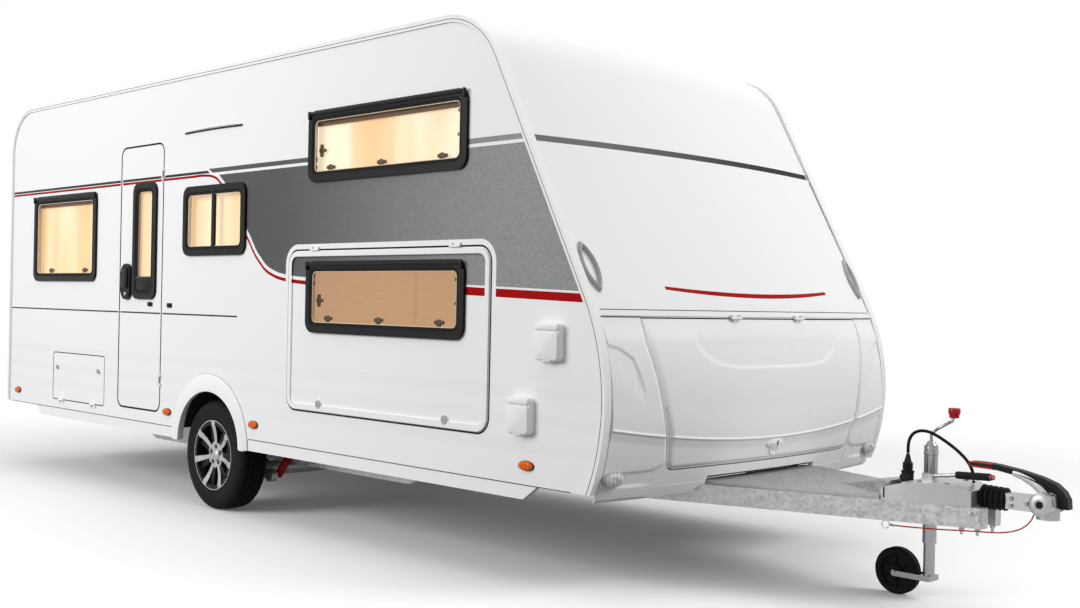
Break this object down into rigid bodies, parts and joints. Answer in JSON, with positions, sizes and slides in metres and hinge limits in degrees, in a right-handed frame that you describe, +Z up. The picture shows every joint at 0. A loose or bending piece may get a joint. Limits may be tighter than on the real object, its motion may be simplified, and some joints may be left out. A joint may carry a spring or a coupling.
{
  "type": "travel caravan",
  "caption": "Single-axle travel caravan with a sloped front, bunk windows, entrance door, garage hatch, gas locker lid, drawbar with coupling and jockey wheel.",
  "frame": {"origin": "on the ground, at the middle of the overall length and width", "axes": "+X forward to the coupling, +Y to the left, +Z up"},
  "size_m": [7.55, 2.37, 2.702],
  "materials": {
    "white_panel": "gloss white sandwich panel",
    "white_moulding": "gloss white moulding",
    "edge_rail": "white coated rail",
    "board": "laminated board",
    "black_moulding": "black moulded plastic",
    "bronze_acrylic": "bronze tinted acrylic",
    "curtain": "cream pleated cloth",
    "amber_lens": "amber lens",
    "clear_lens": "clear lens",
    "red_lens": "red lens",
    "galvanised": "hot-dip galvanised steel",
    "cast_metal": "silver painted casting",
    "red_paint": "red paint",
    "tyre": "black rubber",
    "rubber": "black rubber",
    "alloy": "machined alloy",
    "grey_plastic": "silver grey moulding",
    "red_wire": "red sheathed wire"
  },
  "bodies": {
    "caravan": {"wall_right": "white_panel", "wall_left": "white_panel", "roof": "white_panel", "rear_wall": "white_panel", "front_panel": "white_panel", "front_moulding": "white_moulding", "skirts": "white_moulding", "arch_trims": "white_moulding", "socket_boxes": "white_moulding", "rear_bumper": "white_moulding", "vents": "white_moulding", "roof_lights": "white_moulding", "edge_rails": "edge_rail", "floor": "board", "furniture": "board", "locker_bulkhead": "board", "wheel_boxes": "black_moulding", "window_frames": "black_moulding", "stabiliser_lever": "black_moulding", "parking_socket": "black_moulding", "plug": "black_moulding", "handbrake": "black_moulding", "window_panes": "bronze_acrylic", "curtains": "curtain", "side_lamps": "amber_lens", "front_lamps": "clear_lens", "rear_lamps": "red_lens", "chassis": "galvanised", "drawbar_cover": "galvanised", "axle_tube": "galvanised", "trailing_arms": "galvanised", "steady_brackets": "galvanised", "jockey_clamp": "galvanised", "overrun_housing": "cast_metal", "coupling": "cast_metal", "shock_absorbers": "red_paint", "bellows": "rubber", "cable": "rubber", "grab_handles": "grey_plastic", "breakaway_cable": "red_wire"},
    "wheel_right": {"tyre_right": "tyre", "rim_right": "alloy"},
    "wheel_left": {"tyre_left": "tyre", "rim_left": "alloy"},
    "jockey_slider": {"jockey_leg": "galvanised"},
    "jockey_swivel": {"jockey_fork": "galvanised"},
    "jockey_roller": {"jockey_wheel": "rubber"},
    "door": {"door_panel": "white_panel", "door_handle": "black_moulding", "door_frame": "black_moulding", "door_pane": "bronze_acrylic"},
    "hatch": {"hatch_panel": "white_panel", "hatch_frame": "black_moulding", "hatch_pane": "bronze_acrylic"},
    "locker_lid": {"gas_lid": "white_moulding"},
    "flap": {"service_flap": "white_panel"},
    "leg_rear_right": {"steady_rear_right": "galvanised"},
    "leg_rear_left": {"steady_rear_left": "galvanised"},
    "leg_front_right": {"steady_front_right": "galvanised"},
    "leg_front_left": {"steady_front_left": "galvanised"}
  },
  "joints": [
    {"name": "wheel_right_spin", "type": "hinge", "parent": "caravan", "child": "wheel_right", "pos_m": [-0.875, -1.0155, 0.327], "axis": [0, 1, 0], "continuous": true},
    {"name": "wheel_left_spin", "type": "hinge", "parent": "caravan", "child": "wheel_left", "pos_m": [-0.875, 1.0155, 0.327], "axis": [0, 1, 0], "continuous": true},
    {"name": "jockey_slide", "type": "slide", "parent": "caravan", "child": "jockey_slider", "axis": [0, 0, 1], "range_m": [-0.05, 0.115]},
    {"name": "jockey_turn", "type": "hinge", "parent": "jockey_slider", "child": "jockey_swivel", "pos_m": [3.12, 0.09501, 0.13], "axis": [0, 0, 1], "continuous": true},
    {"name": "jockey_spin", "type": "hinge", "parent": "jockey_swivel", "child": "jockey_roller", "pos_m": [2.97, 0.09501, 0.105], "axis": [0, 1, 0], "continuous": true},
    {"name": "door_hinge", "type": "hinge", "parent": "caravan", "child": "door", "pos_m": [-1.468, -1.15, 1.4], "axis": [0, 0, 1], "range_deg": [0, 165]},
    {"name": "hatch_hinge", "type": "hinge", "parent": "caravan", "child": "hatch", "pos_m": [0.7575, -1.15, 1.535], "axis": [-1, 0, 0], "range_deg": [0, 100]},
    {"name": "lid_hinge", "type": "hinge", "parent": "caravan", "child": "locker_lid", "pos_m": [2.31542, 0, 1.22], "axis": [0, -1, 0], "range_deg": [0, 75]},
    {"name": "flap_hinge", "type": "hinge", "parent": "caravan", "child": "flap", "pos_m": [-2.6075, -1.15, 0.524], "axis": [1, 0, 0], "range_deg": [0, 95]},
    {"name": "steady_rear_right_fold", "type": "hinge", "parent": "caravan", "child": "leg_rear_right", "pos_m": [-3.055, -0.6, 0.428], "axis": [0, -1, 0], "range_deg": [0, 58]},
    {"name": "steady_rear_left_fold", "type": "hinge", "parent": "caravan", "child": "leg_rear_left", "pos_m": [-3.055, 0.6, 0.428], "axis": [0, -1, 0], "range_deg": [0, 58]},
    {"name": "steady_front_right_fold", "type": "hinge", "parent": "caravan", "child": "leg_front_right", "pos_m": [0.999, -0.6, 0.428], "axis": [0, 1, 0], "range_deg": [0, 58]},
    {"name": "steady_front_left_fold", "type": "hinge", "parent": "caravan", "child": "leg_front_left", "pos_m": [0.999, 0.6, 0.428], "axis": [0, 1, 0], "range_deg": [0, 58]}
  ]
}
